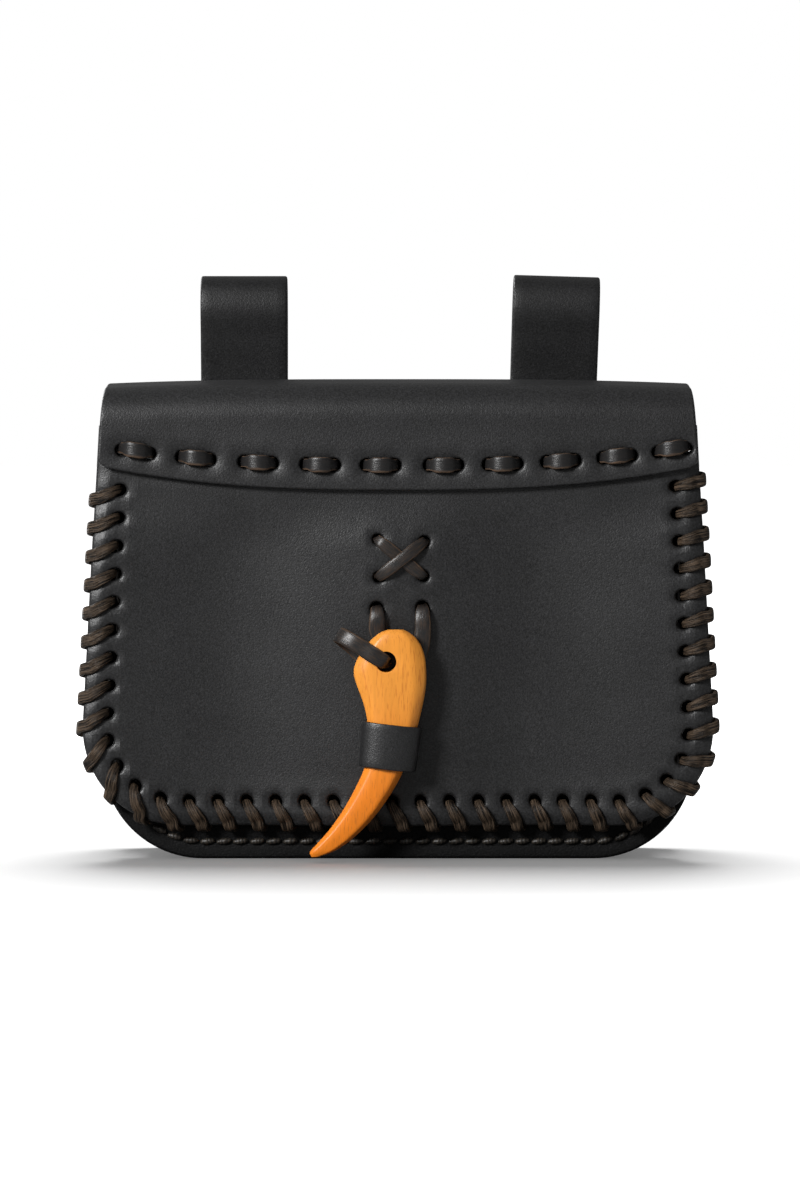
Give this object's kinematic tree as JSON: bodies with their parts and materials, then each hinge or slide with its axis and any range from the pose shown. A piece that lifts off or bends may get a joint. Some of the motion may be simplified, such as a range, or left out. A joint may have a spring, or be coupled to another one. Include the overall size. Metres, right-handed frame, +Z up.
{
  "type": "belt pouch",
  "caption": "Black leather belt pouch with rounded corners, a front flap laced round its edge, a claw toggle held by a leather ring, and folded loops at the back for a belt.",
  "frame": {"origin": "middle of the footprint, on the surface that the pouch stands on", "axes": "+X to the right as seen from the front, +Y to the back with the belt loops, +Z up; the flap and the claw face -Y"},
  "size_m": [0.204, 0.0712, 0.1865],
  "materials": {
    "black_leather": "fine grain with a soft sheen",
    "brown_lace": "fibrous, matt",
    "dark_lace": "smooth face with raw brown edges",
    "orange_wood": "satin, with short dark grain marks"
  },
  "bodies": {
    "root": {"back_panel": "black_leather", "front_flap": "black_leather", "pocket_front": "black_leather", "gusset": "black_leather", "edge_lace": "brown_lace", "running_lace": "dark_lace", "cross_lace": "brown_lace", "tether_lace": "dark_lace", "toggle_ring": "black_leather", "claw_toggle": "orange_wood", "belt_loop_left": "black_leather", "belt_loop_right": "black_leather"}
  },
  "joints": []
}
